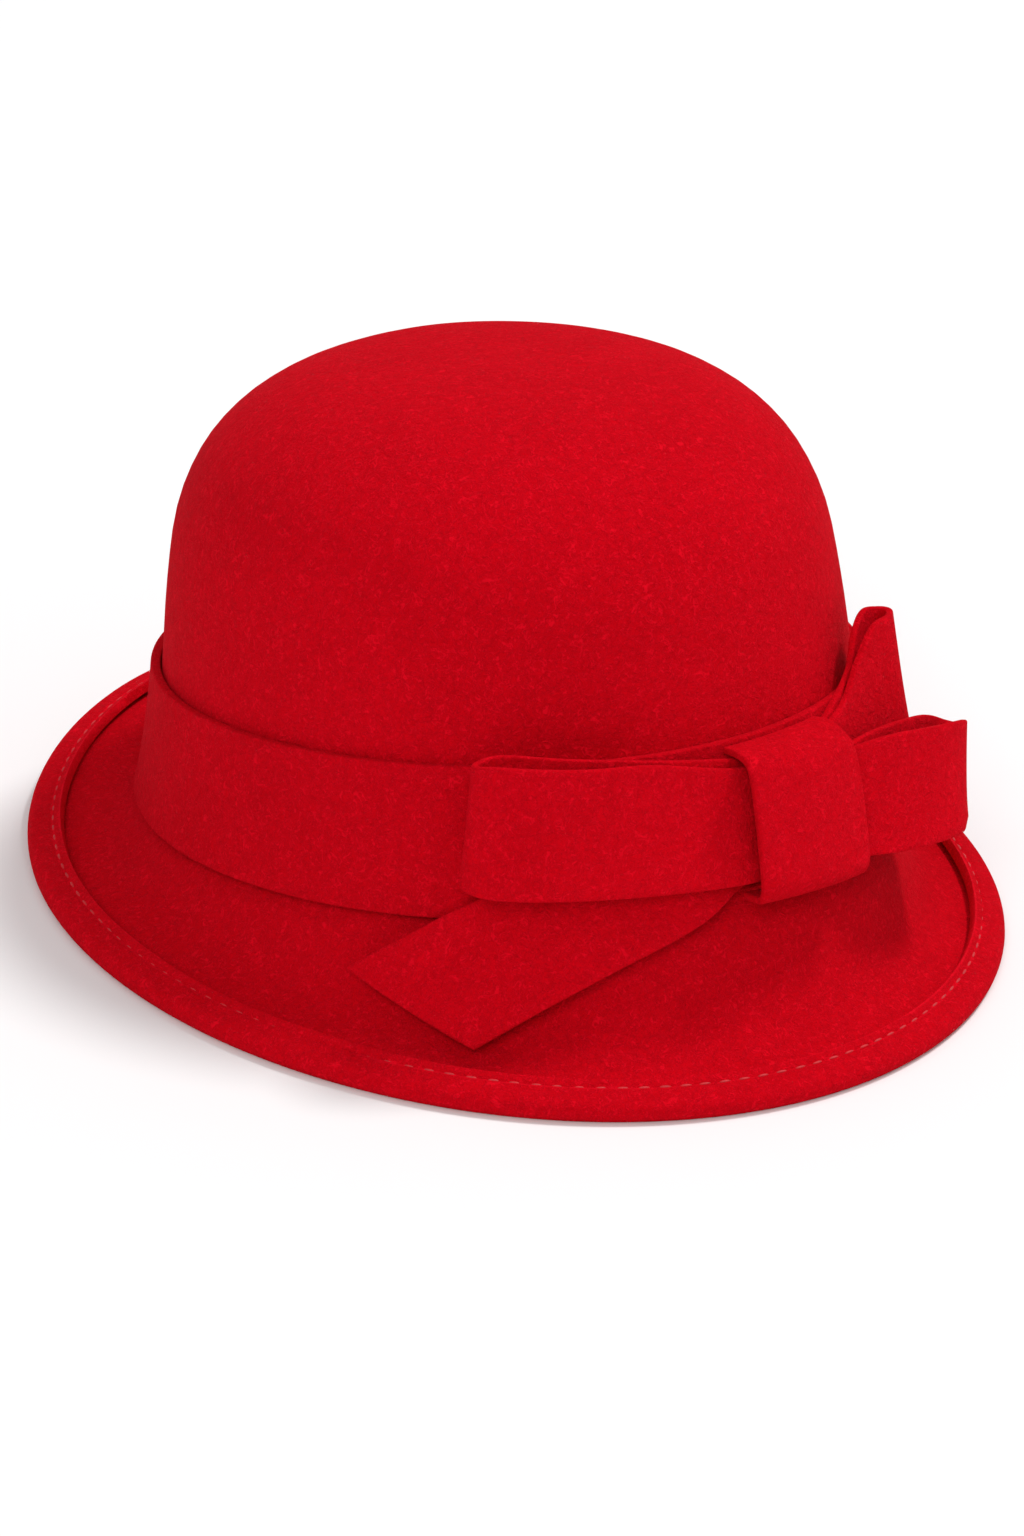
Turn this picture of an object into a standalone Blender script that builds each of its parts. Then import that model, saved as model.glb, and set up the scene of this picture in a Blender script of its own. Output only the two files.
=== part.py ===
"""A cloche hat in red wool felt, with a felt band and a felt bow, resting on its brim.

Metres, +Z up. The floor is z = 0 and the origin is the middle of the brim's outline on the floor.
The front of the hat looks along -Y, and the wearer's left is +X.
An azimuth turns from the front towards the wearer's left.
"""
import math
from collections import namedtuple

import bmesh
import bpy
from mathutils import Matrix, Vector

# Head opening and felt
HEAD_HALF_WIDTH = 0.0870
HEAD_HALF_LENGTH = 0.0945
FELT = 0.0025
RIBBON_FELT = 0.0018
GAP = 0.0004

# Crown: its foot stands over the floor, and it leans back and a little to the wearer's right
CROWN_HEIGHT = 0.1110
CROWN_WALL = 0.0550
CROWN_TAPER = 0.0133
TAPER_POWER = 0.8
DOME_RISE_POWER = 2.65
DOME_REACH_POWER = 3.0
CROWN_LEAN_BACK = math.radians(8.0)
CROWN_LEAN_SIDE = math.radians(2.5)
CROWN_FOOT_BACK = 0.0055
CROWN_FOOT_HEIGHT = 0.0243

# Brim, with its edge turned up and in over it
BRIM_HALF_WIDTH = 0.1215
BRIM_HALF_LENGTH = 0.1300
BRIM_SPRING = math.radians(38.0)
BRIM_REST_SLOPE = math.radians(16.0)
HEM_DEPTH = 0.0095
HEM_ROLL = 0.0017
HEM_LIFT = 0.0006
FLATTENED = 0.0005

# The brim's edge stands off the floor at the back
BACK_LIFT = 0.0070
LIFT_AZIMUTH = math.radians(190.0)
LIFT_HALF_SPAN = math.radians(65.0)

# Band and bow, all cut from felt strip
BAND_HEIGHT = 0.0360
BAND_FLARE = 0.0014
BAND_BACK_DROP = 0.0045
BAND_FRONT = math.radians(-25.0)
RIBBON_WIDTH = 0.0335
SEAT = 0.0006
KNOT_AZIMUTH = math.radians(9.8)
KNOT_HALF_WIDTH = math.radians(10.2)
KNOT_DEPTH = 0.0149
TAIL_SWEEP = math.radians(58.0)
TAIL_BEND_HEIGHT = 0.0020

AZIMUTH_STEPS = 52
STRIP_STEPS = 3
RED = (0.62, 0.004, 0.012, 1.0)

# Heights of the wall's rows, as shares of the band's height, and turns of the dome's rows in degrees
WALL_ROWS = (0.0, 0.3, 0.65, 1.0)
DOME_ROWS = (12, 26, 39, 51, 61, 70, 78, 84)

# A loop's angles and depths: where it starts, how far round it goes, how far its end stands off the
# band, how much further its top edge reaches there, both round and out, and what it lies on.
LoopSize = namedtuple("LoopSize", "root sweep depth lean splay seat")
LEFT_SIZE = LoopSize(math.radians(7.0), math.radians(-46.8), 0.0085, math.radians(2.0), 0.0, 0.0041)
RIGHT_SIZE = LoopSize(math.radians(12.8), math.radians(31.2), 0.0150, math.radians(5.0), 0.0045, 0.0060)
UPPER_SIZE = LoopSize(math.radians(12.8), math.radians(31.7), 0.0078, 0.0, 0.0, SEAT + RIBBON_FELT / 2)

# A loop of ribbon, from its root in the knot along its front, round its end and back.
# along is a share of its sweep, out a share of its depth, foot and top are shares of the ribbon's width.
LoopRow = namedtuple("LoopRow", "along out foot top")
LEFT_LOOP = (
    LoopRow(0.03, 0.24, 0.13, 0.94),
    LoopRow(0.20, 0.26, 0.14, 0.97),
    LoopRow(0.45, 0.37, 0.19, 1.10),
    LoopRow(0.66, 0.70, 0.24, 1.15),
    LoopRow(0.82, 1.00, 0.28, 1.20),
    LoopRow(0.93, 0.98, 0.30, 1.22),
    LoopRow(0.99, 0.70, 0.33, 1.20),
    LoopRow(0.99, 0.30, 0.34, 1.20),
    LoopRow(0.92, 0.04, 0.33, 1.22),
    LoopRow(0.70, 0.00, 0.24, 1.17),
    LoopRow(0.35, 0.00, 0.17, 1.07),
    LoopRow(0.03, 0.00, 0.13, 0.95),
)
RIGHT_LOOP = (
    LoopRow(0.03, 0.12, 0.05, 0.79),
    LoopRow(0.26, 0.14, 0.03, 0.82),
    LoopRow(0.46, 0.46, -0.01, 0.83),
    LoopRow(0.65, 0.77, -0.04, 0.78),
    LoopRow(0.81, 0.97, -0.07, 0.72),
    LoopRow(0.93, 1.00, -0.10, 0.65),
    LoopRow(0.995, 0.86, -0.11, 0.58),
    LoopRow(0.98, 0.66, -0.10, 0.61),
    LoopRow(0.87, 0.45, -0.06, 0.72),
    LoopRow(0.69, 0.26, -0.03, 0.79),
    LoopRow(0.45, 0.10, 0.00, 0.84),
    LoopRow(0.22, 0.00, 0.03, 0.82),
    LoopRow(0.03, 0.00, 0.05, 0.79),
)
UPPER_LOOP = (
    LoopRow(0.03, 0.26, 0.06, 0.96),
    LoopRow(0.21, 0.26, 0.07, 0.97),
    LoopRow(0.43, 0.28, 0.12, 1.08),
    LoopRow(0.60, 0.40, 0.18, 1.30),
    LoopRow(0.75, 0.68, 0.25, 1.48),
    LoopRow(0.88, 0.96, 0.33, 1.52),
    LoopRow(0.98, 0.96, 0.40, 1.45),
    LoopRow(0.99, 0.60, 0.42, 1.43),
    LoopRow(0.90, 0.24, 0.36, 1.49),
    LoopRow(0.76, 0.04, 0.27, 1.41),
    LoopRow(0.63, 0.00, 0.20, 1.22),
    LoopRow(0.43, 0.00, 0.12, 1.10),
    LoopRow(0.21, 0.00, 0.07, 0.97),
    LoopRow(0.03, 0.00, 0.06, 0.96),
)

# The knot's strip, from the band's face over the roots of the loops and down under them.
# out is a share of the knot's depth. right and left are its heights at the wearer's right and left
# sides, as shares of the ribbon's width, and reach is how far its left side comes, as a share of half
# its width.
KnotRow = namedtuple("KnotRow", "out right left reach")
KNOT = (
    KnotRow(0.25, 1.030, 1.020, 0.98),
    KnotRow(0.55, 1.040, 1.020, 0.98),
    KnotRow(0.82, 1.022, 0.955, 0.97),
    KnotRow(0.96, 0.940, 0.860, 0.97),
    KnotRow(1.00, 0.680, 0.620, 0.98),
    KnotRow(1.00, 0.380, 0.320, 0.96),
    KnotRow(0.96, 0.130, 0.045, 0.92),
    KnotRow(0.82, 0.030, -0.035, 0.84),
    KnotRow(0.58, 0.008, -0.045, 0.78),
    KnotRow(0.36, 0.006, -0.045, 0.78),
)

# The tail of ribbon from the knot to its slanting cut: both its edges, as shares of the tail's sweep
# and of the ribbon's width.
TailRow = namedtuple("TailRow", "top_along top foot_along foot")
TAIL = (
    TailRow(-0.10, 0.94, -0.10, 0.080),
    TailRow(0.10, 0.84, 0.01, 0.070),
    TailRow(0.38, 0.53, 0.14, -0.10),
    TailRow(0.64, 0.23, 0.35, -0.30),
    TailRow(0.83, -0.05, 0.53, -0.52),
    TailRow(0.983, -0.33, 0.676, -0.745),
)


def clear_scene():
    for item in list(bpy.data.objects):
        bpy.data.objects.remove(item, do_unlink=True)


def hat_collection():
    group = bpy.data.collections.new("cloche_hat")
    bpy.context.scene.collection.children.link(group)
    return group


def felt_material(name):
    finish = bpy.data.materials.new(name)
    finish.use_nodes = True
    shader = finish.node_tree.nodes["Principled BSDF"]
    shader.inputs["Base Color"].default_value = RED
    shader.inputs["Roughness"].default_value = 0.95
    shader.inputs["Metallic"].default_value = 0.0
    return finish


def crown_reach(rise):
    """How wide the crown is at a height over its foot, as a share of its width at the foot."""
    share = max(0.0, rise) / CROWN_HEIGHT
    return 1.0 - CROWN_TAPER / HEAD_HALF_WIDTH * share ** TAPER_POWER


def crown_frame():
    lean = Matrix.Rotation(-CROWN_LEAN_BACK, 4, "X") @ Matrix.Rotation(-CROWN_LEAN_SIDE, 4, "Y")
    foot = Vector((0.0, CROWN_FOOT_BACK, CROWN_FOOT_HEIGHT))
    return Matrix.Translation(foot) @ lean


def oval_normal(azimuth, half_width, half_length):
    return Vector((math.sin(azimuth) / half_width, -math.cos(azimuth) / half_length, 0.0)).normalized()


def oval_point(azimuth, half_width, half_length, out):
    """A point so far out from an oval, in the plane of the oval."""
    point = Vector((half_width * math.sin(azimuth), -half_length * math.cos(azimuth), 0.0))
    return point + oval_normal(azimuth, half_width, half_length) * out


def on_crown(azimuth, out, rise, reach=None):
    """A point so far out from the outer face of the crown, at a height over its foot."""
    share = crown_reach(rise) if reach is None else reach
    half_width = (HEAD_HALF_WIDTH + FELT) * share
    half_length = (HEAD_HALF_LENGTH + FELT) * share
    point = oval_point(azimuth, half_width, half_length, out)
    point.z = rise
    return crown_frame() @ point


def back_lift(azimuth):
    """How far the edge of the brim stands off the floor."""
    turn = abs((azimuth - LIFT_AZIMUTH + math.pi) % (2 * math.pi) - math.pi)
    if turn > LIFT_HALF_SPAN:
        return 0.0
    return BACK_LIFT * (1.0 + math.cos(math.pi * turn / LIFT_HALF_SPAN)) / 2


def on_rim(azimuth, inset, height):
    """A point so far inside the outline of the brim, at a height over its resting place."""
    point = oval_point(azimuth, BRIM_HALF_WIDTH, BRIM_HALF_LENGTH, -inset)
    point.z = height + back_lift(azimuth)
    return point


def band_face(rise):
    """How far the band's outer face stands out from the crown."""
    share = min(1.0, max(0.0, rise / BAND_HEIGHT))
    return GAP + FELT + BAND_FLARE * (1.0 - share) ** 2


def smooth_path(points, steps):
    """Points along a smooth curve through the given points."""
    path = []
    for i in range(len(points) - 1):
        before = points[max(i - 1, 0)]
        start = points[i]
        end = points[i + 1]
        after = points[min(i + 2, len(points) - 1)]
        for k in range(steps):
            t = k / steps
            path.append(
                0.5
                * (
                    2 * start
                    + (end - before) * t
                    + (2 * before - 5 * start + 4 * end - after) * t * t
                    + (3 * start - before - 3 * end + after) * t ** 3
                )
            )
    path.append(points[-1].copy())
    return path


def bezier(start, start_pull, end_pull, end, steps):
    """Points of a curve from start to end, both left out."""
    curve = []
    for k in range(1, steps):
        t = k / steps
        u = 1.0 - t
        curve.append(
            start * u ** 3 + start_pull * (3 * u * u * t) + end_pull * (3 * u * t * t) + end * t ** 3
        )
    return curve


def sheet(name, rows, group, closed, thickness, apex=None):
    """A felt sheet laid through rows of points, thickened to both sides."""
    mesh = bpy.data.meshes.new(name)
    build = bmesh.new()
    grid = [[build.verts.new(point) for point in row] for row in rows]
    count = len(rows[0])
    spans = count if closed else count - 1
    for upper, lower in zip(grid, grid[1:]):
        for i in range(spans):
            j = (i + 1) % count
            build.faces.new((upper[i], upper[j], lower[j], lower[i]))
    if apex is not None:
        top = build.verts.new(apex)
        for i in range(spans):
            build.faces.new((top, grid[0][(i + 1) % count], grid[0][i]))
    bmesh.ops.recalc_face_normals(build, faces=build.faces)
    build.to_mesh(mesh)
    build.free()
    mesh.shade_smooth()
    piece = bpy.data.objects.new(name, mesh)
    piece.data.materials.append(felt_material(name + "_felt"))
    group.objects.link(piece)
    wall = piece.modifiers.new("Felt", "SOLIDIFY")
    wall.thickness = thickness
    wall.offset = 0.0
    wall.use_even_offset = True
    return piece


def apply_modifiers(piece):
    depsgraph = bpy.context.evaluated_depsgraph_get()
    mesh = bpy.data.meshes.new_from_object(piece.evaluated_get(depsgraph))
    piece.modifiers.clear()
    piece.data = mesh


def crown_rows(azimuth):
    """The middle of the crown's felt, from the top of the dome down to the foot."""
    points = []
    for degrees in reversed(DOME_ROWS):
        turn = math.radians(degrees)
        rise = CROWN_WALL + (CROWN_HEIGHT - CROWN_WALL) * math.sin(turn) ** (2.0 / DOME_RISE_POWER)
        reach = crown_reach(rise) * math.cos(turn) ** (2.0 / DOME_REACH_POWER)
        inward = -FELT / 2 * math.cos(turn)
        points.append(on_crown(azimuth, inward, rise - FELT / 2 * math.sin(turn), reach))
    points.append(on_crown(azimuth, -FELT / 2, CROWN_WALL))
    for share in reversed(WALL_ROWS):
        points.append(on_crown(azimuth, -FELT / 2, BAND_HEIGHT * share))
    return points


def brim_rows(azimuth):
    """The middle of the brim's felt, from the crown's foot out to the level stretch at its edge."""
    foot = on_crown(azimuth, -FELT / 2, 0.0)
    down = crown_frame().to_3x3() @ Vector((0.0, 0.0, -1.0))
    outward = oval_normal(azimuth, BRIM_HALF_WIDTH, BRIM_HALF_LENGTH)
    edge = hem_rows(azimuth)[0]
    pull = (edge - foot).length * 0.42
    spring = down * math.cos(BRIM_SPRING) + outward * math.sin(BRIM_SPRING)
    rest = outward * math.cos(BRIM_REST_SLOPE) + Vector((0, 0, -1)) * math.sin(BRIM_REST_SLOPE)
    return bezier(foot, foot + spring * pull, edge - rest * pull, edge, 6)


def hem_rows(azimuth):
    """The middle of the felt at the brim's edge: level, round the fold and back in over the brim."""
    centre_inset = FELT / 2 + HEM_ROLL
    centre_height = FELT / 2 + HEM_ROLL - FLATTENED
    slope = BRIM_REST_SLOPE
    points = []
    for back in (HEM_DEPTH, 0.0015):
        inset = centre_inset + HEM_ROLL * math.sin(slope) + back * math.cos(slope)
        height = centre_height - HEM_ROLL * math.cos(slope) + back * math.sin(slope)
        points.append(on_rim(azimuth, inset, height))
    start = -math.pi / 2 - slope
    for share in (0.0, 0.09, 0.25, 0.42, 0.6, 0.8, 1.0):
        turn = start + math.pi * share
        inset = centre_inset - HEM_ROLL * math.cos(turn)
        points.append(on_rim(azimuth, inset, centre_height + HEM_ROLL * math.sin(turn)))
    for share in (0.5, 1.0):
        back = (HEM_DEPTH - centre_inset) * share
        lift = HEM_ROLL + HEM_LIFT * share * share
        inset = centre_inset - lift * math.sin(slope) + back * math.cos(slope)
        height = centre_height + lift * math.cos(slope) + back * math.sin(slope)
        points.append(on_rim(azimuth, inset, height))
    return points


def felt_body(group):
    """Crown, brim and hem in one piece of felt, pressed flat where it rests."""
    azimuths = [2 * math.pi * i / AZIMUTH_STEPS for i in range(AZIMUTH_STEPS)]
    meridians = [crown_rows(a) + brim_rows(a) + hem_rows(a) for a in azimuths]
    rows = [list(row) for row in zip(*meridians)]
    apex = crown_frame() @ Vector((0.0, 0.0, CROWN_HEIGHT - FELT / 2))
    body = sheet("felt_body", rows, group, True, FELT, apex)
    apply_modifiers(body)
    for corner in body.data.vertices:
        if corner.co.z < GAP / 4:
            corner.co.z = 0.0
    return body


def hat_band(group):
    """The band, which stands off the crown a little more at its foot."""
    azimuths = [2 * math.pi * i / AZIMUTH_STEPS for i in range(AZIMUTH_STEPS)]
    rows = []
    for share in reversed(WALL_ROWS):
        row = []
        for azimuth in azimuths:
            drop = BAND_BACK_DROP * (1.0 - math.cos(azimuth - BAND_FRONT)) / 2
            rise = (BAND_HEIGHT - drop) * share + GAP
            row.append(on_crown(azimuth, band_face(rise) - FELT / 2, rise))
        rows.append(row)
    return sheet("hat_band", rows, group, True, FELT)


def ribbon_loop(name, size, table, group):
    """A loop of ribbon lying along the band to one side of the knot."""
    edges = []
    for side in (1.0, 0.0, -1.0):
        points = []
        for row in table:
            azimuth = size.root + size.sweep * row.along + size.lean * row.along * side / 2
            height = RIBBON_WIDTH * (row.foot + (row.top - row.foot) * (side + 1.0) / 2)
            out = band_face(height) + size.seat + size.depth * row.out + size.splay * row.along * side / 2
            points.append(on_crown(azimuth, out, height))
        edges.append(smooth_path(points, STRIP_STEPS))
    return sheet(name, edges, group, False, RIBBON_FELT)


def bow_knot(group):
    """The strip wrapped over the roots of the loops, open towards the band."""
    columns = []
    steps = 5
    for i in range(steps + 1):
        share = i / steps
        points = []
        for row in KNOT:
            turn = KNOT_HALF_WIDTH * (2 * share - 1) * (1.0 + (row.reach - 1.0) * share)
            azimuth = KNOT_AZIMUTH + turn
            height = RIBBON_WIDTH * (row.right + (row.left - row.right) * share)
            points.append(on_crown(azimuth, KNOT_DEPTH * row.out, height))
        columns.append(smooth_path(points, 2))
    return sheet("bow_knot", columns, group, False, RIBBON_FELT)


def tail_out(height):
    """How far the tail stands out from the crown: flat on the band, and bent out over the brim."""
    drop = max(0.0, TAIL_BEND_HEIGHT - height)
    bend = 0.43 * drop + 200.0 * drop ** 3
    return band_face(max(height, TAIL_BEND_HEIGHT)) + SEAT + RIBBON_FELT / 2 + bend


def bow_tail(group):
    """The ribbon's tail, from behind the wearer's-right loop to its cut over the brim."""
    tops = smooth_path([Vector((-row.top_along, row.top)) for row in TAIL], 2)
    feet = smooth_path([Vector((-row.foot_along, row.foot)) for row in TAIL], 2)
    steps = 9
    rows = []
    for i in range(steps + 1):
        row = []
        for top, foot in zip(tops, feet):
            along, height = top + (foot - top) * (i / steps)
            height *= RIBBON_WIDTH
            row.append(on_crown(TAIL_SWEEP * along, tail_out(height), height))
        rows.append(row)
    return sheet("bow_tail", rows, group, False, RIBBON_FELT)


def main():
    clear_scene()
    group = hat_collection()
    felt_body(group)
    hat_band(group)
    ribbon_loop("bow_left_loop", LEFT_SIZE, LEFT_LOOP, group)
    ribbon_loop("bow_right_loop", RIGHT_SIZE, RIGHT_LOOP, group)
    ribbon_loop("bow_upper_loop", UPPER_SIZE, UPPER_LOOP, group)
    bow_knot(group)
    bow_tail(group)


main()
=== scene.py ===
"""The looks of a red wool felt cloche hat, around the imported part.

Metres, +Z up, the part's own frame: the front looks along -Y and the wearer's left is +X.
"""
import math
from collections import namedtuple

import bmesh
import bpy
from mathutils import Matrix, Vector, noise

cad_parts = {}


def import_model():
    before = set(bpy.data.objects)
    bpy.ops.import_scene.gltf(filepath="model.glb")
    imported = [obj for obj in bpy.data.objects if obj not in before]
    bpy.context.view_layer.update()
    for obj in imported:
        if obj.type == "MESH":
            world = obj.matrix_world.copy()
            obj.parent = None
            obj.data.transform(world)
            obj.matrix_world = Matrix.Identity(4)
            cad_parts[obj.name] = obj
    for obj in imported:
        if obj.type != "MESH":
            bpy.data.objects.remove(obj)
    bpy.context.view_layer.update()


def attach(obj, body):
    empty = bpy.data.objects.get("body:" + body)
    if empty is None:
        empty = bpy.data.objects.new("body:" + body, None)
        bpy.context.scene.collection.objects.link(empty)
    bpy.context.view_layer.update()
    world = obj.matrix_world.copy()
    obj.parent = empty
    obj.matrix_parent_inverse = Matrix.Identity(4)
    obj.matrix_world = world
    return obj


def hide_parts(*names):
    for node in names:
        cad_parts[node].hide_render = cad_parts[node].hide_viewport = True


# Head opening and felt
HEAD_HALF_WIDTH = 0.0870
HEAD_HALF_LENGTH = 0.0945
FELT = 0.0025
RIBBON_FELT = 0.0018
GAP = 0.0004

# Crown: its foot stands over the floor, and it leans back and a little to the wearer's right
CROWN_HEIGHT = 0.1110
CROWN_WALL = 0.0550
CROWN_TAPER = 0.0133
TAPER_POWER = 0.8
DOME_RISE_POWER = 2.65
DOME_REACH_POWER = 3.0
CROWN_LEAN_BACK = math.radians(8.0)
CROWN_LEAN_SIDE = math.radians(2.5)
CROWN_FOOT_BACK = 0.0055
CROWN_FOOT_HEIGHT = 0.0243

# Brim, with its edge turned up and in over it
BRIM_HALF_WIDTH = 0.1215
BRIM_HALF_LENGTH = 0.1300
BRIM_SPRING = math.radians(38.0)
BRIM_REST_SLOPE = math.radians(16.0)
HEM_DEPTH = 0.0095
HEM_ROLL = 0.0017
HEM_LIFT = 0.0006
FLATTENED = 0.0005
FOLD_START = 0.0015

# How long the brim's curve keeps its direction at each end, as a share of its span, and its steps
BRIM_PULL = 0.42
BRIM_STEPS = 6

# Places round the hem's fold, as shares of its half turn
FOLD_SHARES = (0.0, 0.09, 0.25, 0.42, 0.6, 0.8, 1.0)

# The brim's edge stands off the floor at the back
BACK_LIFT = 0.0070
LIFT_AZIMUTH = math.radians(190.0)
LIFT_HALF_SPAN = math.radians(65.0)

# Band and bow, all cut from felt strip
BAND_HEIGHT = 0.0360
BAND_FLARE = 0.0014
BAND_BACK_DROP = 0.0045
BAND_FRONT = math.radians(-25.0)
RIBBON_WIDTH = 0.0335
SEAT = 0.0006
KNOT_AZIMUTH = math.radians(9.8)
KNOT_HALF_WIDTH = math.radians(10.2)
KNOT_DEPTH = 0.0149
TAIL_SWEEP = math.radians(58.0)
TAIL_BEND_HEIGHT = 0.0020

# How far out the tail goes for its drop over the brim: evenly, and more the lower it is
TAIL_SLOPE = 0.43
TAIL_CURL = 200.0


# Heights of the wall's rows, as shares of the band's height, and turns of the dome's rows in degrees
WALL_ROWS = (0.0, 0.3, 0.65, 1.0)
DOME_ROWS = (12, 26, 39, 51, 61, 70, 78, 84)

# A loop's angles and depths: where it starts, how far round it goes, how far its end stands off the
# band, how much further its top edge reaches there, both round and out, and what it lies on.
LoopSize = namedtuple("LoopSize", "root sweep depth lean splay seat")
LEFT_SIZE = LoopSize(math.radians(7.0), math.radians(-46.8), 0.0085, math.radians(2.0), 0.0, 0.0041)
RIGHT_SIZE = LoopSize(math.radians(12.8), math.radians(31.2), 0.0150, math.radians(5.0), 0.0045, 0.0060)
UPPER_SIZE = LoopSize(math.radians(12.8), math.radians(31.7), 0.0078, 0.0, 0.0, SEAT + RIBBON_FELT / 2)

# A loop of ribbon, from its root in the knot along its front, round its end and back.
# along is a share of its sweep, out a share of its depth, foot and top are shares of the ribbon's width.
LoopRow = namedtuple("LoopRow", "along out foot top")
LEFT_LOOP = (
    LoopRow(0.03, 0.24, 0.13, 0.94),
    LoopRow(0.20, 0.26, 0.14, 0.97),
    LoopRow(0.45, 0.37, 0.19, 1.10),
    LoopRow(0.66, 0.70, 0.24, 1.15),
    LoopRow(0.82, 1.00, 0.28, 1.20),
    LoopRow(0.93, 0.98, 0.30, 1.22),
    LoopRow(0.99, 0.70, 0.33, 1.20),
    LoopRow(0.99, 0.30, 0.34, 1.20),
    LoopRow(0.92, 0.04, 0.33, 1.22),
    LoopRow(0.70, 0.00, 0.24, 1.17),
    LoopRow(0.35, 0.00, 0.17, 1.07),
    LoopRow(0.03, 0.00, 0.13, 0.95),
)
RIGHT_LOOP = (
    LoopRow(0.03, 0.12, 0.05, 0.79),
    LoopRow(0.26, 0.14, 0.03, 0.82),
    LoopRow(0.46, 0.46, -0.01, 0.83),
    LoopRow(0.65, 0.77, -0.04, 0.78),
    LoopRow(0.81, 0.97, -0.07, 0.72),
    LoopRow(0.93, 1.00, -0.10, 0.65),
    LoopRow(0.995, 0.86, -0.11, 0.58),
    LoopRow(0.98, 0.66, -0.10, 0.61),
    LoopRow(0.87, 0.45, -0.06, 0.72),
    LoopRow(0.69, 0.26, -0.03, 0.79),
    LoopRow(0.45, 0.10, 0.00, 0.84),
    LoopRow(0.22, 0.00, 0.03, 0.82),
    LoopRow(0.03, 0.00, 0.05, 0.79),
)
UPPER_LOOP = (
    LoopRow(0.03, 0.26, 0.06, 0.96),
    LoopRow(0.21, 0.26, 0.07, 0.97),
    LoopRow(0.43, 0.28, 0.12, 1.08),
    LoopRow(0.60, 0.40, 0.18, 1.30),
    LoopRow(0.75, 0.68, 0.25, 1.48),
    LoopRow(0.88, 0.98, 0.33, 1.50),
    LoopRow(0.97, 0.94, 0.38, 1.50),
    LoopRow(0.98, 0.60, 0.40, 1.51),
    LoopRow(0.90, 0.20, 0.36, 1.52),
    LoopRow(0.76, 0.04, 0.27, 1.41),
    LoopRow(0.63, 0.00, 0.20, 1.22),
    LoopRow(0.43, 0.00, 0.12, 1.10),
    LoopRow(0.21, 0.00, 0.07, 0.97),
    LoopRow(0.03, 0.00, 0.06, 0.96),
)

# The knot's strip, from the band's face over the roots of the loops and down under them.
# out is a share of the knot's depth. right and left are its heights at the wearer's right and left
# sides, as shares of the ribbon's width, and reach is how far its left side comes, as a share of half
# its width.
KnotRow = namedtuple("KnotRow", "out right left reach")
KNOT = (
    KnotRow(0.25, 1.030, 1.020, 0.98),
    KnotRow(0.55, 1.040, 1.020, 0.98),
    KnotRow(0.82, 1.022, 0.955, 0.97),
    KnotRow(0.96, 0.940, 0.860, 0.97),
    KnotRow(1.00, 0.680, 0.620, 0.98),
    KnotRow(1.00, 0.380, 0.320, 0.96),
    KnotRow(0.96, 0.130, 0.045, 0.92),
    KnotRow(0.82, 0.030, -0.035, 0.84),
    KnotRow(0.58, 0.008, -0.045, 0.78),
    KnotRow(0.36, 0.006, -0.045, 0.78),
)

# The tail of ribbon from the knot to its slanting cut: both its edges, as shares of the tail's sweep
# and of the ribbon's width.
TailRow = namedtuple("TailRow", "top_along top foot_along foot")
TAIL = (
    TailRow(-0.10, 0.94, -0.10, 0.080),
    TailRow(0.10, 0.84, 0.01, 0.070),
    TailRow(0.38, 0.53, 0.14, -0.10),
    TailRow(0.64, 0.23, 0.35, -0.30),
    TailRow(0.83, -0.05, 0.53, -0.52),
    TailRow(0.983, -0.33, 0.676, -0.745),
)


# How finely the looks are drawn: steps round the hat, steps between two rows, and rows across a ribbon
AZIMUTH_STEPS = 208
ROW_STEPS = 3
LOOP_STEPS = 8
RIBBON_ROWS = 16
KNOT_COLUMNS = 24
KNOT_STEPS = 5
TAIL_STEPS = 6

# Hand-shaped felt is never quite even
UNEVEN = 0.0004
UNEVEN_WAVE = 0.045
EDGE_ROUND = 0.00055
EDGE_SEGMENTS = 3
SHARP_EDGE = math.radians(60)

# The hem's flap and its running stitch: place on the flap, dip under the thread, spacing and thread
STITCH_PLACE = 0.66
STITCH_DIP = 0.00050
STITCH_PITCH = 0.0049
STITCH_LENGTH = 0.0031
THREAD_RADIUS = 0.00034
THREAD_SPREAD = 1.2
STITCH_WOBBLE = 0.10
WOBBLE_STEP = 0.7
RIM_SAMPLES = 2000
FLAP_ROWS = ((0.25, 0.0), (0.48, 0.12), (0.66, 1.0), (0.82, 0.12), (1.0, 0.0))

# Felt colours, linear light
FELT_RED = (0.60, 0.0010, 0.0070, 1.0)
FELT_DEEP = (0.36, 0.0004, 0.0030, 1.0)
# FELT_BRIGHT lightens the fibres and also paints the highlight on convex edges
FELT_BRIGHT = (0.86, 0.0040, 0.0180, 1.0)
THREAD_RED = (0.44, 0.002, 0.008, 1.0)
FLOOR_WHITE = (0.86, 0.86, 0.862, 1.0)
BODY_TONE = 1.0
BAND_TONE = 0.97
BOW_TONE = 1.04

# The felt's pattern: how fine each noise is, in turns a metre, and how wide a fibre's line is
PATCH_SCALE = 38.0
MOTTLE_SCALE = 420.0
LONG_FIBRE_SCALE = 330.0
SHORT_FIBRE_SCALE = 820.0
SHADED_FIBRE_SCALE = 560.0
GRAIN_SCALE = 2600.0
TWIST_SCALE = 1900.0
FIBRE_WIDTH = 0.045

# Surroundings
FLOOR_SIZE = 30.0
WORLD_STRENGTH = 0.52

# Camera, as the photograph was taken: where it looks from, at what, and how it is turned
CAMERA_AZIMUTH = math.radians(-35.0)
CAMERA_ELEVATION = math.radians(25.5)
CAMERA_ROLL = math.radians(5.0)
CAMERA_DISTANCE = 1.25
CAMERA_TARGET = Vector((-0.007, -0.005, 0.033))
CAMERA_LENS = 117.2
SENSOR = 36.0


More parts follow.
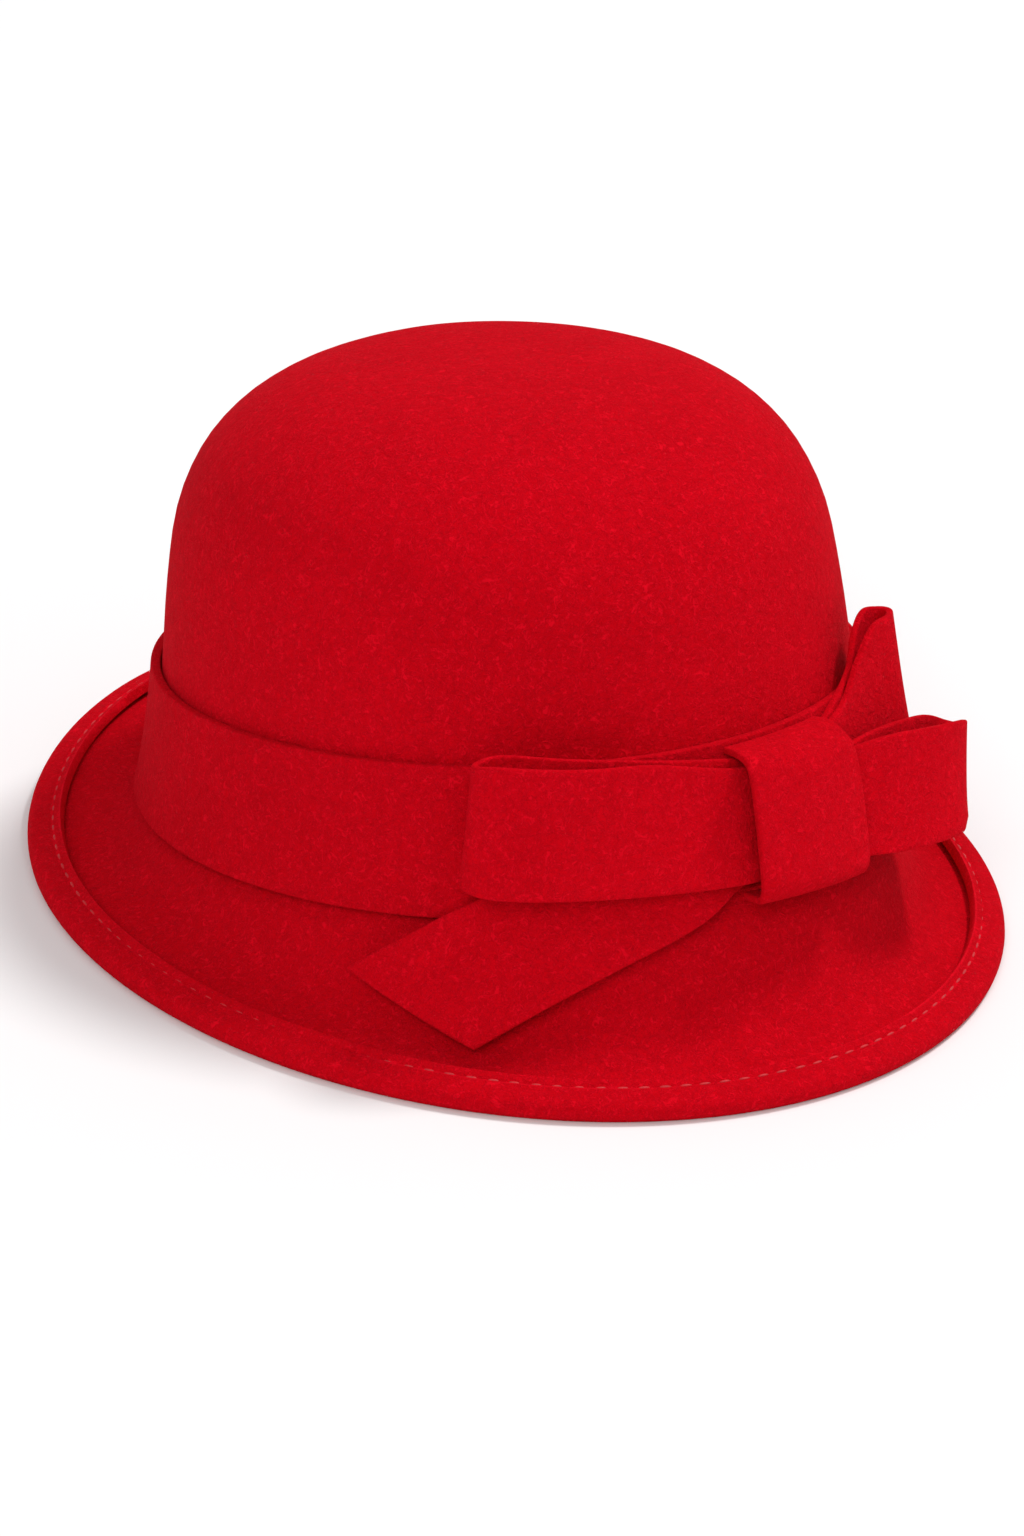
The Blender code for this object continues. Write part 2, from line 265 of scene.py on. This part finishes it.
def crown_reach(rise):
    """How wide the crown is at a height over its foot, as a share of its width at the foot."""
    share = max(0.0, rise) / CROWN_HEIGHT
    return 1.0 - CROWN_TAPER / HEAD_HALF_WIDTH * share ** TAPER_POWER


def crown_frame():
    lean = Matrix.Rotation(-CROWN_LEAN_BACK, 4, "X") @ Matrix.Rotation(-CROWN_LEAN_SIDE, 4, "Y")
    foot = Vector((0.0, CROWN_FOOT_BACK, CROWN_FOOT_HEIGHT))
    return Matrix.Translation(foot) @ lean


def oval_normal(azimuth, half_width, half_length):
    return Vector((math.sin(azimuth) / half_width, -math.cos(azimuth) / half_length, 0.0)).normalized()


def oval_point(azimuth, half_width, half_length, out):
    """A point so far out from an oval, in the plane of the oval."""
    point = Vector((half_width * math.sin(azimuth), -half_length * math.cos(azimuth), 0.0))
    return point + oval_normal(azimuth, half_width, half_length) * out


def on_crown(azimuth, out, rise, reach=None):
    """A point so far out from the outer face of the crown, at a height over its foot."""
    share = crown_reach(rise) if reach is None else reach
    half_width = (HEAD_HALF_WIDTH + FELT) * share
    half_length = (HEAD_HALF_LENGTH + FELT) * share
    point = oval_point(azimuth, half_width, half_length, out)
    point.z = rise
    return crown_frame() @ point


def back_lift(azimuth):
    """How far the edge of the brim stands off the floor."""
    turn = abs((azimuth - LIFT_AZIMUTH + math.pi) % (2 * math.pi) - math.pi)
    if turn > LIFT_HALF_SPAN:
        return 0.0
    return BACK_LIFT * (1.0 + math.cos(math.pi * turn / LIFT_HALF_SPAN)) / 2


def on_rim(azimuth, inset, height):
    """A point so far inside the outline of the brim, at a height over its resting place."""
    point = oval_point(azimuth, BRIM_HALF_WIDTH, BRIM_HALF_LENGTH, -inset)
    point.z = height + back_lift(azimuth)
    return point


def band_face(rise):
    """How far the band's outer face stands out from the crown."""
    share = min(1.0, max(0.0, rise / BAND_HEIGHT))
    return GAP + FELT + BAND_FLARE * (1.0 - share) ** 2


def smooth_path(points, steps):
    """Points along a smooth curve through the given points."""
    path = []
    for i in range(len(points) - 1):
        before = points[max(i - 1, 0)]
        start = points[i]
        end = points[i + 1]
        after = points[min(i + 2, len(points) - 1)]
        for k in range(steps):
            t = k / steps
            path.append(
                0.5
                * (
                    2 * start
                    + (end - before) * t
                    + (2 * before - 5 * start + 4 * end - after) * t * t
                    + (3 * start - before - 3 * end + after) * t ** 3
                )
            )
    path.append(points[-1].copy())
    return path


def bezier(start, start_pull, end_pull, end, steps):
    """Points of a curve from start to end, both left out."""
    curve = []
    for k in range(1, steps):
        t = k / steps
        u = 1.0 - t
        curve.append(
            start * u ** 3 + start_pull * (3 * u * u * t) + end_pull * (3 * u * t * t) + end * t ** 3
        )
    return curve


def crown_rows(azimuth):
    """The middle of the crown's felt, from the top of the dome down to the foot."""
    points = []
    for degrees in reversed(DOME_ROWS):
        turn = math.radians(degrees)
        rise = CROWN_WALL + (CROWN_HEIGHT - CROWN_WALL) * math.sin(turn) ** (2.0 / DOME_RISE_POWER)
        reach = crown_reach(rise) * math.cos(turn) ** (2.0 / DOME_REACH_POWER)
        inward = -FELT / 2 * math.cos(turn)
        points.append(on_crown(azimuth, inward, rise - FELT / 2 * math.sin(turn), reach))
    points.append(on_crown(azimuth, -FELT / 2, CROWN_WALL))
    for share in reversed(WALL_ROWS):
        points.append(on_crown(azimuth, -FELT / 2, BAND_HEIGHT * share))
    return points


def brim_rows(azimuth):
    """The middle of the brim's felt, from the crown's foot out to the level stretch at its edge."""
    foot = on_crown(azimuth, -FELT / 2, 0.0)
    down = crown_frame().to_3x3() @ Vector((0.0, 0.0, -1.0))
    outward = oval_normal(azimuth, BRIM_HALF_WIDTH, BRIM_HALF_LENGTH)
    edge = hem_rows(azimuth)[0]
    pull = (edge - foot).length * BRIM_PULL
    spring = down * math.cos(BRIM_SPRING) + outward * math.sin(BRIM_SPRING)
    rest = outward * math.cos(BRIM_REST_SLOPE) + Vector((0, 0, -1)) * math.sin(BRIM_REST_SLOPE)
    return bezier(foot, foot + spring * pull, edge - rest * pull, edge, BRIM_STEPS)


def hem_rows(azimuth):
    """The middle of the felt at the brim's edge: level, round the fold and back in over the brim."""
    centre_inset = FELT / 2 + HEM_ROLL
    centre_height = FELT / 2 + HEM_ROLL - FLATTENED
    slope = BRIM_REST_SLOPE
    points = []
    for back in (HEM_DEPTH, FOLD_START):
        inset = centre_inset + HEM_ROLL * math.sin(slope) + back * math.cos(slope)
        height = centre_height - HEM_ROLL * math.cos(slope) + back * math.sin(slope)
        points.append(on_rim(azimuth, inset, height))
    start = -math.pi / 2 - slope
    for share in FOLD_SHARES:
        turn = start + math.pi * share
        inset = centre_inset - HEM_ROLL * math.cos(turn)
        points.append(on_rim(azimuth, inset, centre_height + HEM_ROLL * math.sin(turn)))
    for share, dip in FLAP_ROWS:
        points.append(on_flap(azimuth, share, -STITCH_DIP * dip))
    return points


def on_flap(azimuth, share, over):
    """A point on the middle of the hem's flap, moved so far over it."""
    centre_inset = FELT / 2 + HEM_ROLL
    centre_height = FELT / 2 + HEM_ROLL - FLATTENED
    slope = BRIM_REST_SLOPE
    back = (HEM_DEPTH - centre_inset) * share
    lift = HEM_ROLL + HEM_LIFT * share * share + over
    inset = centre_inset - lift * math.sin(slope) + back * math.cos(slope)
    height = centre_height + lift * math.cos(slope) + back * math.sin(slope)
    return on_rim(azimuth, inset, height)


def uneven(mesh):
    """Moves each point a little along its normal, as felt pulled over a block by hand is."""
    for corner in mesh.vertices:
        if corner.co.z > FELT * 2:
            wave = noise.noise(corner.co / UNEVEN_WAVE)
            corner.co += corner.normal * UNEVEN * wave


def sheet(name, rows, closed, thickness, finish, node, apex=None):
    """A felt sheet laid through rows of points, thickened to both sides, with rounded cut edges."""
    mesh = bpy.data.meshes.new(name)
    build = bmesh.new()
    grid = [[build.verts.new(point) for point in row] for row in rows]
    count = len(rows[0])
    spans = count if closed else count - 1
    for upper, lower in zip(grid, grid[1:]):
        for i in range(spans):
            j = (i + 1) % count
            build.faces.new((upper[i], upper[j], lower[j], lower[i]))
    if apex is not None:
        top = build.verts.new(apex)
        for i in range(spans):
            build.faces.new((top, grid[0][(i + 1) % count], grid[0][i]))
    bmesh.ops.recalc_face_normals(build, faces=build.faces)
    build.to_mesh(mesh)
    build.free()
    uneven(mesh)
    mesh.shade_smooth()
    piece = bpy.data.objects.new(name, mesh)
    bpy.context.scene.collection.objects.link(piece)
    wall = piece.modifiers.new("Felt", "SOLIDIFY")
    wall.thickness = thickness
    wall.offset = 0.0
    wall.use_even_offset = True
    edge = piece.modifiers.new("Cut edge", "BEVEL")
    edge.width = EDGE_ROUND
    edge.segments = EDGE_SEGMENTS
    edge.limit_method = "ANGLE"
    edge.angle_limit = SHARP_EDGE
    depsgraph = bpy.context.evaluated_depsgraph_get()
    solid = bpy.data.meshes.new_from_object(piece.evaluated_get(depsgraph))
    piece.modifiers.clear()
    piece.data = solid
    solid.materials.clear()
    solid.materials.append(finish)
    solid.shade_smooth()
    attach(piece, "root")
    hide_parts(node)
    return piece


def round_azimuths():
    return [2 * math.pi * i / AZIMUTH_STEPS for i in range(AZIMUTH_STEPS)]


def felt_body(finish):
    """Crown, brim and hem in one piece of felt, pressed flat where it rests."""
    apex = crown_frame() @ Vector((0.0, 0.0, CROWN_HEIGHT - FELT / 2))
    meridians = []
    for azimuth in round_azimuths():
        points = [apex] + crown_rows(azimuth) + brim_rows(azimuth) + hem_rows(azimuth)
        meridians.append(smooth_path(points, ROW_STEPS)[1:])
    rows = [list(row) for row in zip(*meridians)]
    body = sheet("felt_hat", rows, True, FELT, finish, "felt_body", apex)
    for corner in body.data.vertices:
        if corner.co.z < GAP / 4:
            corner.co.z = 0.0


def hat_band(finish):
    rows = []
    shares = [1.0 - i / RIBBON_ROWS for i in range(RIBBON_ROWS + 1)]
    for share in shares:
        row = []
        for azimuth in round_azimuths():
            drop = BAND_BACK_DROP * (1.0 - math.cos(azimuth - BAND_FRONT)) / 2
            rise = (BAND_HEIGHT - drop) * share + GAP
            row.append(on_crown(azimuth, band_face(rise) - FELT / 2, rise))
        rows.append(row)
    sheet("felt_band", rows, True, FELT, finish, "hat_band")


def ribbon_loop(name, size, table, finish, node):
    """A loop of ribbon lying along the band to one side of the knot."""
    edges = []
    for i in range(RIBBON_ROWS + 1):
        side = 1.0 - 2.0 * i / RIBBON_ROWS
        points = []
        for row in table:
            azimuth = size.root + size.sweep * row.along + size.lean * row.along * side / 2
            height = RIBBON_WIDTH * (row.foot + (row.top - row.foot) * (side + 1.0) / 2)
            out = band_face(height) + size.seat + size.depth * row.out + size.splay * row.along * side / 2
            points.append(on_crown(azimuth, out, height))
        edges.append(smooth_path(points, LOOP_STEPS))
    sheet(name, edges, False, RIBBON_FELT, finish, node)


def bow_knot(finish):
    """The strip wrapped over the roots of the loops, open towards the band."""
    columns = []
    for i in range(KNOT_COLUMNS + 1):
        share = i / KNOT_COLUMNS
        points = []
        for row in KNOT:
            turn = KNOT_HALF_WIDTH * (2 * share - 1) * (1.0 + (row.reach - 1.0) * share)
            height = RIBBON_WIDTH * (row.right + (row.left - row.right) * share)
            points.append(on_crown(KNOT_AZIMUTH + turn, KNOT_DEPTH * row.out, height))
        columns.append(smooth_path(points, KNOT_STEPS))
    sheet("bow_centre", columns, False, RIBBON_FELT, finish, "bow_knot")


def tail_out(height):
    """How far the tail stands out from the crown: flat on the band, and bent out over the brim."""
    drop = max(0.0, TAIL_BEND_HEIGHT - height)
    bend = TAIL_SLOPE * drop + TAIL_CURL * drop ** 3
    return band_face(max(height, TAIL_BEND_HEIGHT)) + SEAT + RIBBON_FELT / 2 + bend


def bow_tail(finish):
    """The ribbon's tail, from behind the wearer's-right loop to its cut over the brim."""
    tops = smooth_path([Vector((-row.top_along, row.top)) for row in TAIL], TAIL_STEPS)
    feet = smooth_path([Vector((-row.foot_along, row.foot)) for row in TAIL], TAIL_STEPS)
    rows = []
    for i in range(RIBBON_ROWS + 1):
        row = []
        for top, foot in zip(tops, feet):
            along, height = top + (foot - top) * (i / RIBBON_ROWS)
            height *= RIBBON_WIDTH
            row.append(on_crown(TAIL_SWEEP * along, tail_out(height), height))
        rows.append(row)
    sheet("bow_ribbon_tail", rows, False, RIBBON_FELT, finish, "bow_tail")


def rim_places(pitch):
    """Azimuths that stand evenly spaced along the brim's outline."""
    lengths = [0.0]
    for i in range(RIM_SAMPLES):
        start = on_rim(2 * math.pi * i / RIM_SAMPLES, HEM_DEPTH, 0.0)
        end = on_rim(2 * math.pi * (i + 1) / RIM_SAMPLES, HEM_DEPTH, 0.0)
        lengths.append(lengths[-1] + (end - start).length)
    count = round(lengths[-1] / pitch)
    places = []
    k = 0
    for i in range(count):
        while lengths[k + 1] < lengths[-1] * i / count:
            k += 1
        places.append(2 * math.pi * k / RIM_SAMPLES)
    return places


def hem_stitches(finish):
    """A running stitch through the hem's flap, each stitch a short thread with sunk ends."""
    build = bmesh.new()
    over = FELT / 2 - STITCH_DIP
    for k, azimuth in enumerate(rim_places(STITCH_PITCH)):
        half = STITCH_LENGTH / 2 / BRIM_HALF_LENGTH
        middle = on_flap(azimuth, STITCH_PLACE, over)
        along = on_flap(azimuth + half, STITCH_PLACE, over) - on_flap(azimuth - half, STITCH_PLACE, over)
        ball = bmesh.ops.create_uvsphere(build, u_segments=8, v_segments=6, radius=1.0)["verts"]
        turn = along.to_track_quat("X", "Z").to_matrix().to_4x4()
        askew = STITCH_WOBBLE * noise.noise(Vector((k * WOBBLE_STEP, 0.0, 0.0)))
        wobble = Matrix.Rotation(askew, 4, "Z")
        size = Matrix.Diagonal((STITCH_LENGTH / 2, THREAD_RADIUS * THREAD_SPREAD, THREAD_RADIUS, 1.0))
        bmesh.ops.transform(build, matrix=Matrix.Translation(middle) @ turn @ wobble @ size, verts=ball)
    mesh = bpy.data.meshes.new("hem_stitches")
    build.to_mesh(mesh)
    build.free()
    mesh.shade_smooth()
    mesh.materials.append(finish)
    piece = bpy.data.objects.new("hem_stitches", mesh)
    bpy.context.scene.collection.objects.link(piece)
    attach(piece, "root")


def add(nodes, kind, **values):
    """A shader node with the named inputs set to plain values."""
    node = nodes.new(kind)
    for name, value in values.items():
        node.inputs[name.replace("_", " ")].default_value = value
    return node


def noise_field(tree, place, scale, detail, distortion):
    field = add(tree.nodes, "ShaderNodeTexNoise", Scale=scale, Detail=detail, Distortion=distortion)
    tree.links.new(place.outputs["Object"], field.inputs["Vector"])
    return field.outputs["Fac"]


def reshape(tree, value, low, high, to_low=0.0, to_high=1.0):
    """Stretches a value's range and keeps it inside."""
    node = tree.nodes.new("ShaderNodeMapRange")
    node.interpolation_type = "SMOOTHSTEP"
    node.inputs["From Min"].default_value = low
    node.inputs["From Max"].default_value = high
    node.inputs["To Min"].default_value = to_low
    node.inputs["To Max"].default_value = to_high
    tree.links.new(value, node.inputs["Value"])
    return node.outputs["Result"]


def arithmetic(tree, operation, first, second):
    node = tree.nodes.new("ShaderNodeMath")
    node.operation = operation
    for socket, value in zip(node.inputs, (first, second)):
        if isinstance(value, float):
            socket.default_value = value
        else:
            tree.links.new(value, socket)
    return node.outputs["Value"]


def blend(tree, share, first, second):
    """A colour between two, each a plain colour or another node's output."""
    node = tree.nodes.new("ShaderNodeMix")
    node.data_type = "RGBA"
    tree.links.new(share, node.inputs["Factor"])
    for socket, value in ((node.inputs[6], first), (node.inputs[7], second)):
        if isinstance(value, tuple):
            socket.default_value = value
        else:
            tree.links.new(value, socket)
    return node.outputs[2]


def ridges(tree, field):
    """Thin winding lines where a noise crosses its middle, like fibres lying in felt."""
    away = arithmetic(tree, "ABSOLUTE", arithmetic(tree, "SUBTRACT", field, 0.5), 0.0)
    return reshape(tree, away, 0.0, FIBRE_WIDTH, 1.0, 0.0)


def felt_finish(name, tone):
    """Matted wool: fibres winding every way, soft patches of tone, a painted highlight on convex edges
    and a light nap.
    """
    finish = bpy.data.materials.new(name)
    finish.use_nodes = True
    tree = finish.node_tree
    shader = tree.nodes["Principled BSDF"]
    place = tree.nodes.new("ShaderNodeTexCoord")
    patches = reshape(tree, noise_field(tree, place, PATCH_SCALE, 5.0, 0.3), 0.35, 0.65)
    mottle = reshape(tree, noise_field(tree, place, MOTTLE_SCALE, 3.0, 0.6), 0.35, 0.70)
    long_fibres = ridges(tree, noise_field(tree, place, LONG_FIBRE_SCALE, 2.0, 1.6))
    short_fibres = ridges(tree, noise_field(tree, place, SHORT_FIBRE_SCALE, 2.0, 1.2))
    grain = noise_field(tree, place, GRAIN_SCALE, 3.0, 0.0)
    base = tuple(c * tone for c in FELT_RED[:3]) + (1.0,)
    deep = tuple(c * tone for c in FELT_DEEP[:3]) + (1.0,)
    colour = blend(tree, reshape(tree, patches, 0.0, 1.0, 0.0, 0.12), base, deep)
    colour = blend(tree, reshape(tree, mottle, 0.0, 1.0, 0.0, 0.20), colour, deep)
    fibres = arithmetic(tree, "MAXIMUM", long_fibres, arithmetic(tree, "MULTIPLY", short_fibres, 0.6))
    shaded = ridges(tree, noise_field(tree, place, SHADED_FIBRE_SCALE, 2.0, 1.8))
    colour = blend(tree, arithmetic(tree, "MULTIPLY", shaded, 0.45), colour, deep)
    colour = blend(tree, arithmetic(tree, "MULTIPLY", fibres, 0.50), colour, FELT_BRIGHT)
    geometry = tree.nodes.new("ShaderNodeNewGeometry")
    # Painted highlight: convex edges, found by pointiness, are lightened towards FELT_BRIGHT.
    edges = reshape(tree, geometry.outputs["Pointiness"], 0.53, 0.62)
    colour = blend(tree, arithmetic(tree, "MULTIPLY", edges, 0.45), colour, FELT_BRIGHT)
    tree.links.new(colour, shader.inputs["Base Color"])
    rough = reshape(tree, grain, 0.3, 0.7, 0.86, 1.0)
    tree.links.new(rough, shader.inputs["Roughness"])
    shader.inputs["Specular IOR Level"].default_value = 0.02
    shader.inputs["Sheen Weight"].default_value = 0.16
    shader.inputs["Sheen Roughness"].default_value = 0.45
    shader.inputs["Sheen Tint"].default_value = (1.0, 0.02, 0.05, 1.0)
    height = arithmetic(tree, "ADD", arithmetic(tree, "MULTIPLY", fibres, 0.6), mottle)
    height = arithmetic(tree, "ADD", height, arithmetic(tree, "MULTIPLY", grain, 0.9))
    bump = add(tree.nodes, "ShaderNodeBump", Strength=0.85, Distance=0.00030)
    tree.links.new(height, bump.inputs["Height"])
    tree.links.new(bump.outputs["Normal"], shader.inputs["Normal"])
    return finish


def thread_finish():
    """Twisted sewing thread, a little darker than the felt."""
    finish = bpy.data.materials.new("stitch_thread")
    finish.use_nodes = True
    tree = finish.node_tree
    shader = tree.nodes["Principled BSDF"]
    place = tree.nodes.new("ShaderNodeTexCoord")
    twist = noise_field(tree, place, TWIST_SCALE, 2.0, 0.5)
    colour = blend(tree, reshape(tree, twist, 0.35, 0.65), THREAD_RED, FELT_RED)
    tree.links.new(colour, shader.inputs["Base Color"])
    shader.inputs["Roughness"].default_value = 0.6
    bump = add(tree.nodes, "ShaderNodeBump", Strength=0.5, Distance=0.0001)
    tree.links.new(twist, bump.inputs["Height"])
    tree.links.new(bump.outputs["Normal"], shader.inputs["Normal"])
    return finish


def floor():
    """A plain pale floor, wide enough to fill the view from any side."""
    bpy.ops.mesh.primitive_plane_add(size=FLOOR_SIZE)
    ground = bpy.context.object
    ground.name = "floor"
    finish = bpy.data.materials.new("floor_white")
    finish.use_nodes = True
    shader = finish.node_tree.nodes["Principled BSDF"]
    shader.inputs["Base Color"].default_value = FLOOR_WHITE
    shader.inputs["Roughness"].default_value = 0.9
    shader.inputs["Specular IOR Level"].default_value = 0.1
    ground.data.materials.append(finish)


def camera_axes():
    """The camera's place and its right, up and forward directions."""
    back = Vector((
        math.sin(CAMERA_AZIMUTH) * math.cos(CAMERA_ELEVATION),
        -math.cos(CAMERA_AZIMUTH) * math.cos(CAMERA_ELEVATION),
        math.sin(CAMERA_ELEVATION),
    ))
    level = (-back).cross(Vector((0, 0, 1))).normalized()
    upward = level.cross(-back)
    right = level * math.cos(CAMERA_ROLL) + upward * math.sin(CAMERA_ROLL)
    up = upward * math.cos(CAMERA_ROLL) - level * math.sin(CAMERA_ROLL)
    return CAMERA_TARGET + back * CAMERA_DISTANCE, right, up, -back


def camera():
    place, right, up, forward = camera_axes()
    data = bpy.data.cameras.new("camera")
    data.lens = CAMERA_LENS
    data.sensor_width = SENSOR
    eye = bpy.data.objects.new("camera", data)
    turn = Matrix((right, up, -forward)).transposed().to_4x4()
    eye.matrix_world = Matrix.Translation(place) @ turn
    bpy.context.scene.collection.objects.link(eye)
    bpy.context.scene.camera = eye


def lamp(name, side, height, near, size, energy):
    """A soft box placed as seen from the camera: to its right, up, and towards it from the hat."""
    place, right, _, forward = camera_axes()
    level = Vector((-forward.x, -forward.y, 0.0)).normalized()
    spot = CAMERA_TARGET + right * side + Vector((0, 0, height)) + level * near
    data = bpy.data.lights.new(name, "AREA")
    data.shape = "DISK"
    data.size = size
    data.energy = energy
    box = bpy.data.objects.new(name, data)
    turn = (spot - CAMERA_TARGET).to_track_quat("Z", "Y").to_matrix().to_4x4()
    box.matrix_world = Matrix.Translation(spot) @ turn
    bpy.context.scene.collection.objects.link(box)


def light():
    """White surroundings, a soft box high behind on the right and a larger one in front."""
    world = bpy.data.worlds.new("studio")
    world.use_nodes = True
    world.node_tree.nodes["Background"].inputs["Color"].default_value = (1.0, 1.0, 1.0, 1.0)
    world.node_tree.nodes["Background"].inputs["Strength"].default_value = WORLD_STRENGTH
    bpy.context.scene.world = world
    lamp("key", side=1.7, height=3.6, near=-1.3, size=0.9, energy=112.0)
    lamp("fill", side=-0.6, height=2.4, near=3.2, size=1.8, energy=52.0)
    bpy.context.scene.view_settings.view_transform = "Standard"


def main():
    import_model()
    body_felt = felt_finish("wool_felt_body", BODY_TONE)
    band_felt = felt_finish("wool_felt_band", BAND_TONE)
    bow_felt = felt_finish("wool_felt_bow", BOW_TONE)
    felt_body(body_felt)
    hem_stitches(thread_finish())
    hat_band(band_felt)
    ribbon_loop("bow_loop_right_side", LEFT_SIZE, LEFT_LOOP, bow_felt, "bow_left_loop")
    ribbon_loop("bow_loop_left_side", RIGHT_SIZE, RIGHT_LOOP, bow_felt, "bow_right_loop")
    ribbon_loop("bow_loop_upper", UPPER_SIZE, UPPER_LOOP, bow_felt, "bow_upper_loop")
    bow_knot(bow_felt)
    bow_tail(bow_felt)
    floor()
    light()
    camera()


main()
